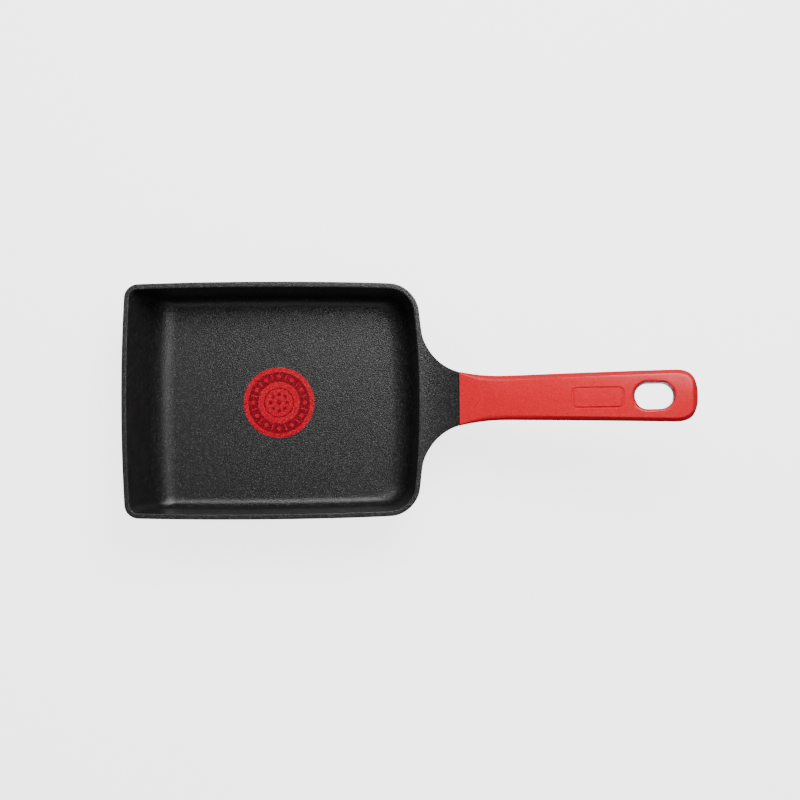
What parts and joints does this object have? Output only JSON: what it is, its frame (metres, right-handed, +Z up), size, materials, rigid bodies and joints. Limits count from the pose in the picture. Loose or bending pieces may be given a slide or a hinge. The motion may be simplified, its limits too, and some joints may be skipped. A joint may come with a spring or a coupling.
{
  "type": "tamagoyaki pan",
  "caption": "Rectangular rolled-omelette pan: deep non-stick cast vessel on a perforated steel base plate, with a moulded handle that has a lined hanging slot.",
  "frame": {"origin": "in the base plane, under the middle of the vessel's mouth", "axes": "+X from the vessel towards the handle, +Y to the left of someone who looks along +X, +Z up out of the mouth"},
  "size_m": [0.3547, 0.148, 0.0751],
  "materials": {
    "coated_casting": "black speckled non-stick coating, satin",
    "red_print": "printed coating, satin",
    "base_steel": "brushed",
    "black_seal": "matt",
    "red_grip": "soft satin",
    "fastener_steel": "bright",
    "lining_steel": "satin"
  },
  "bodies": {
    "root": {"pan_body": "coated_casting", "heat_indicator": "red_print", "induction_plate": "base_steel", "neck_gasket": "black_seal", "handle_grip": "red_grip", "thread_insert": "fastener_steel", "flat_washer": "fastener_steel", "spring_washer": "fastener_steel", "handle_screw": "fastener_steel", "hanging_eyelet": "lining_steel"}
  },
  "joints": []
}
